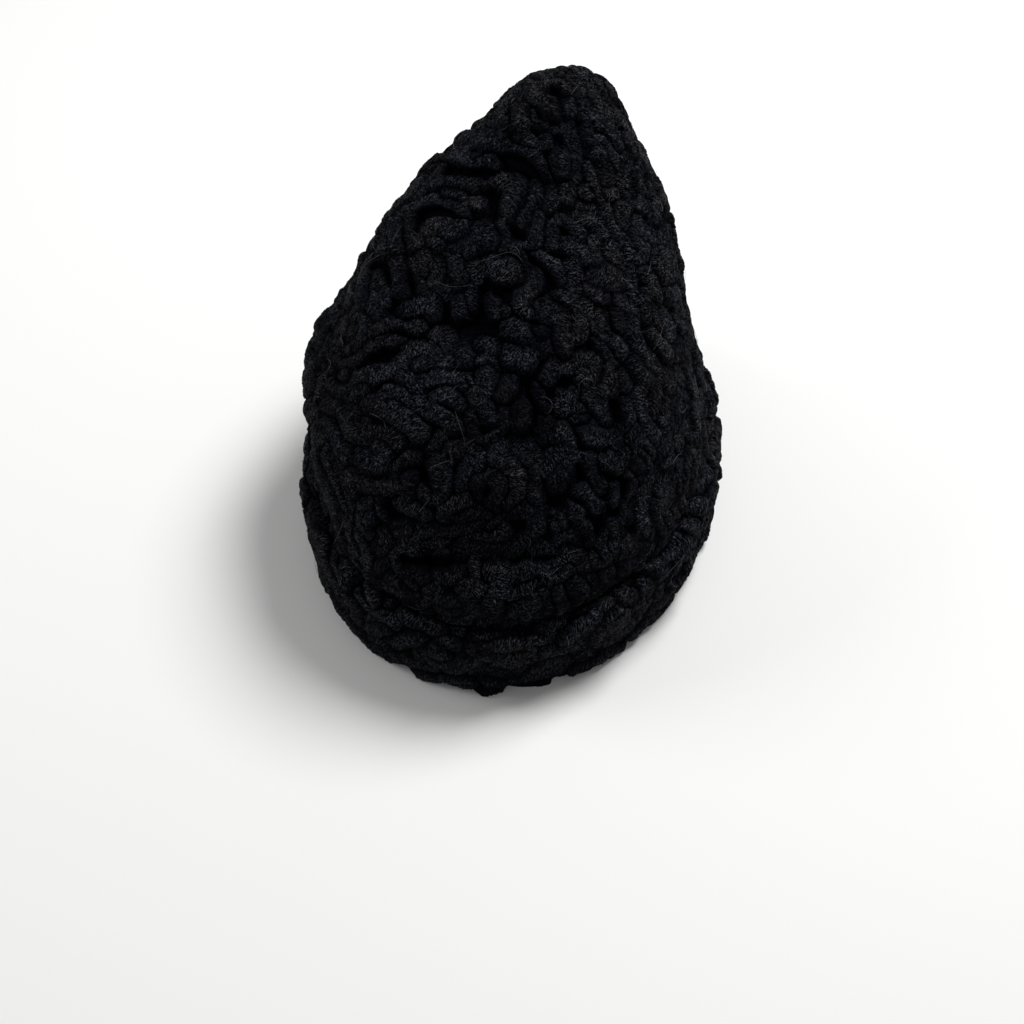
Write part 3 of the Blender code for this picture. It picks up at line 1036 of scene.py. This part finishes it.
def lock_tree():
    tree = new_geometry_tree("hair locks", ("Density", "Length", "Width", "Lift", "Tilt", "Tuck"))
    given = add(tree, "NodeGroupInput").outputs
    skin, seed = given["Geometry"], given["Seed"]
    amount = times(tree, given["Density"], named_field(tree, "lock_cover", "FLOAT"))
    chosen = {"Mesh": skin, "Density": amount, "Seed": seed}
    points = add(tree, "GeometryNodeDistributePointsOnFaces", chosen)
    across = named_field(tree, "across", "FLOAT_VECTOR")
    axes = {"Primary Axis": points.outputs["Normal"], "Secondary Axis": across}
    turn = result(tree, "FunctionNodeAxesToRotation", axes, primary_axis="Z", secondary_axis="X")
    wobble = chance(tree, -WOBBLE, WOBBLE, seed)
    twist = result(tree, "FunctionNodeAxisAngleToRotation", {"Axis": (0, 0, 1), "Angle": wobble})
    turns = {"Rotation": turn, "Rotate By": twist}
    strip = add(tree, "GeometryNodeMeshGrid", {
        "Size X": given["Length"], "Size Y": given["Width"],
        "Vertices X": LOCK_FACES_ALONG + 1, "Vertices Y": LOCK_FACES_ACROSS + 1,
    })
    mapped = store(tree, strip.outputs["Mesh"], "UVMap", strip.outputs["UV Map"], "FLOAT2", "CORNER")
    sizes = {0: SMALLEST_LOCK, 1: LARGEST_LOCK, "Seed": seed}
    locks = result(tree, "GeometryNodeInstanceOnPoints", {
        "Points": points.outputs["Points"],
        "Instance": mapped,
        "Rotation": result(tree, "FunctionNodeRotateRotation", turns, rotation_space="LOCAL"),
        "Scale": result(tree, "FunctionNodeRandomValue", sizes, data_type="FLOAT_VECTOR"),
    })
    toned = store(tree, locks, "tone", chance(tree, 0.0, 1.0, seed), "FLOAT", "INSTANCE")
    tilted = store(tree, toned, "tilt", chance(tree, -1.0, 1.0, seed), "FLOAT", "INSTANCE")
    real = result(tree, "GeometryNodeRealizeInstances", {"Geometry": tilted})
    uv = add(tree, "ShaderNodeSeparateXYZ", {0: named_field(tree, "UVMap", "FLOAT_VECTOR")}).outputs
    arch = times(tree, calculate(tree, "SUBTRACT", 1.0, uv["X"]), uv["X"])
    lifted = times(tree, arch, 4.0, given["Lift"])
    sideways = calculate(tree, "SUBTRACT", uv["Y"], 0.5)
    tipped = times(tree, sideways, named_field(tree, "tilt", "FLOAT"), given["Tilt"])
    clear = calculate(tree, "SUBTRACT", calculate(tree, "ADD", lifted, tipped), given["Tuck"])
    here = result(tree, "GeometryNodeInputPosition")
    foot = nearest_on_skin(tree, skin, here, here)
    outward = nearest_on_skin(tree, skin, result(tree, "GeometryNodeInputNormal"), here)
    raised = result(tree, "ShaderNodeVectorMath", {0: outward, "Scale": clear}, operation="SCALE")
    place = result(tree, "ShaderNodeVectorMath", {0: foot, 1: raised}, operation="ADD")
    wrapped = result(tree, "GeometryNodeSetPosition", {"Geometry": real, "Position": place})
    soft = result(tree, "GeometryNodeSetShadeSmooth", {"Geometry": wrapped})
    dyed = result(tree, "GeometryNodeSetMaterial", {"Geometry": soft, "Material": given["Material"]})
    add(tree, "NodeGroupOutput", {"Geometry": dyed})
    return tree


# %% [markdown]
# ## Laying the locks
# A tree's inputs are set on the modifier by each socket's own identifier. The result is baked to a plain
# mesh, and the locks are shared out over four pieces so that none grows too heavy. Locks lie only on the
# upper part of a roll, so that the partings stay dark and open.

# %% Scatter the locks
LOCK_HEIGHTS = (0.55, 0.9)  # locks start and are full at these shares of a roll's height
LOCKS = (
    # piece, skin, number of locks, seed
    ("crown_locks_1", crown, 31000, 1),
    ("crown_locks_2", crown, 31000, 2),
    ("crown_locks_3", crown, 31000, 3),
    ("cuff_locks", cuff, 22000, 4),
)
LOCK_SIZES = {"Length": 3.2 * MM, "Width": 0.38 * MM, "Lift": 0.55 * MM, "Tilt": 0.3 * MM, "Tuck": 0.2 * MM}


def set_inputs(modifier, values):
    for item in modifier.node_group.interface.items_tree:
        if item.in_out == "INPUT" and item.name in values:
            modifier[item.identifier] = values[item.name]


def covered_area(mesh, cover):
    """The area of a mesh in square metres, each triangle counted as far as cover says."""
    mesh.calc_loop_triangles()
    corners = np.zeros(3 * len(mesh.loop_triangles), np.int32)
    areas = np.zeros(len(mesh.loop_triangles), np.float32)
    mesh.loop_triangles.foreach_get("vertices", corners)
    mesh.loop_triangles.foreach_get("area", areas)
    return float((areas * cover[corners].reshape(-1, 3).mean(axis=1)).sum())


def scatter(name, skin, tree, values):
    source = new_object(name, skin.thing.data)
    layer = source.modifiers.new("scatter", "NODES")
    layer.node_group = tree
    set_inputs(layer, values)
    source.data = evaluated_mesh(source)
    source.modifiers.clear()
    places = np.zeros(3 * len(source.data.vertices), np.float32)
    source.data.vertices.foreach_get("co", places)
    places[2::3] = np.maximum(places[2::3], 0)
    source.data.vertices.foreach_set("co", places)
    print(name, len(source.data.polygons), "faces")
    return source


locks_tree = lock_tree()
pieces = [crown.thing, cuff.thing]
for skin in (crown, cuff):
    mesh = skin.thing.data
    mesh.materials.clear()
    mesh.materials.append(fur_material)
    height = np.zeros(len(mesh.vertices), np.float32)
    mesh.attributes["height"].data.foreach_get("value", height)
    lock_cover = ramp(height, *LOCK_HEIGHTS)
    skin.store("lock_cover", lock_cover)
    skin.lock_area = covered_area(mesh, lock_cover)
for name, skin, number, seed in LOCKS:
    values = dict(LOCK_SIZES, Density=number / skin.lock_area, Seed=seed, Material=hair_material)
    pieces.append(scatter(name, skin, locks_tree, values))

# %% [markdown]
# ## Stray hairs
# A pelt sheds a few long hairs that lie loose over the rolls and catch the light, paler than the fur below.
# Some are placed where the photograph shows them, and the rest drift over the skin at random.
# Each is a thin round line: a curve with a bevel, turned into a mesh.

# %% Lay the stray hairs
STRAYS = (
    # the skin that a hair lies on, then the pixels of its points
    (crown, 349, 511, 344, 525, 338, 540, 334, 544), (crown, 441, 283, 447, 290, 465, 288, 483, 283),
    (crown, 474, 265, 484, 262, 500, 256, 515, 250, 523, 262), (crown, 405, 225, 397, 235, 393, 247),
    (crown, 388, 254, 375, 258, 363, 266, 360, 280), (crown, 650, 262, 649, 268, 646, 275),
    (crown, 661, 325, 659, 335, 655, 345, 652, 350), (crown, 568, 553, 575, 550, 583, 548),
    (cuff, 662, 577, 672, 566, 683, 555), (crown, 456, 412, 460, 425, 467, 442),
    (crown, 515, 583, 522, 580, 528, 577),
)
LOOSE_HAIRS = 90
STRAY_SEED = 31
ON_CUFF = 0.25              # the share of loose hairs that lie on the cuff
HAIR_RADIUS = 0.08 * MM
HAIR_COLOUR = (0.045, 0.045, 0.048, 1)
CLEAR = 0.9                 # millimetres from a loose hair's middle to the fur below it
CLEAR_BY_HAND = 1.2 * CLEAR
HAIR_STEP = 1.6             # millimetres between a loose hair's points
HAIR_BEND = 0.16            # how sharply it turns, as 1 / millimetres
HAIR_WANDER = 0.12          # and how far it strays at each point, in radians


def drift(skin, rng):
    """A loose hair's points on the skin."""
    index = rng.choice(np.flatnonzero(skin.cover > FULL_FUR))
    heading = unit(np.cross(skin.normal[index], rng.normal(0, 1, 3)))
    bend = rng.normal(0, HAIR_BEND)
    path = [skin.points[index]]
    for _ in range(rng.integers(3, 8)):
        normal = skin.normal[skin.fleece.nearest(path[-1])]
        heading = unit(heading - normal * (heading @ normal))
        heading = turned(heading, normal, [bend * HAIR_STEP + rng.normal(0, HAIR_WANDER)])[0]
        path.append(skin.fleece.on_skin(path[-1] + HAIR_STEP * heading))
    return np.array(path)


def lifted_off(skin, places, clear):
    return places + clear * skin.normal[[skin.fleece.nearest(place) for place in places]]


def hair_curve(paths):
    curve = bpy.data.curves.new("stray_hairs", "CURVE")
    curve.dimensions = "3D"
    curve.bevel_depth = HAIR_RADIUS
    curve.bevel_resolution = 0
    curve.resolution_u = 3
    for path in paths:
        spline = curve.splines.new("NURBS")
        spline.points.add(len(path) - 1)
        spline.use_endpoint_u = True
        for point, place in zip(spline.points, path):
            point.co = (*(place * MM), 1)
        spline.points[0].radius = spline.points[-1].radius = 0.4
    return curve


rng = np.random.default_rng(STRAY_SEED)
paths = []
for row in STRAYS:
    paths.append(lifted_off(row[0], behind_pixels(row[0], row), CLEAR_BY_HAND))
for _ in range(LOOSE_HAIRS):
    skin = cuff if rng.random() < ON_CUFF else crown
    paths.append(lifted_off(skin, drift(skin, rng), CLEAR))
paths = [path for path in paths if path[:, 2].min() > 1]
lines = new_object("stray_hairs", hair_curve(paths))
stray_mesh = evaluated_mesh(lines)
bpy.data.objects.remove(lines)
strays = new_object("stray_hairs", stray_mesh)
strays.data.materials.clear()
strays.data.materials.append(plain_material("stray hair", HAIR_COLOUR, 0.5))
pieces.append(strays)
print(len(paths), "stray hairs,", len(strays.data.polygons), "faces")

# %% [markdown]
# ## Handing over
# Each piece rides on the model's one body.
# The two skins stand for the two plain solids, which are then hidden.

# %% Attach the pieces
for piece in pieces:
    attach(piece, "root")
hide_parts("crown")
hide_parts("cuff")
print(len(pieces), "pieces")
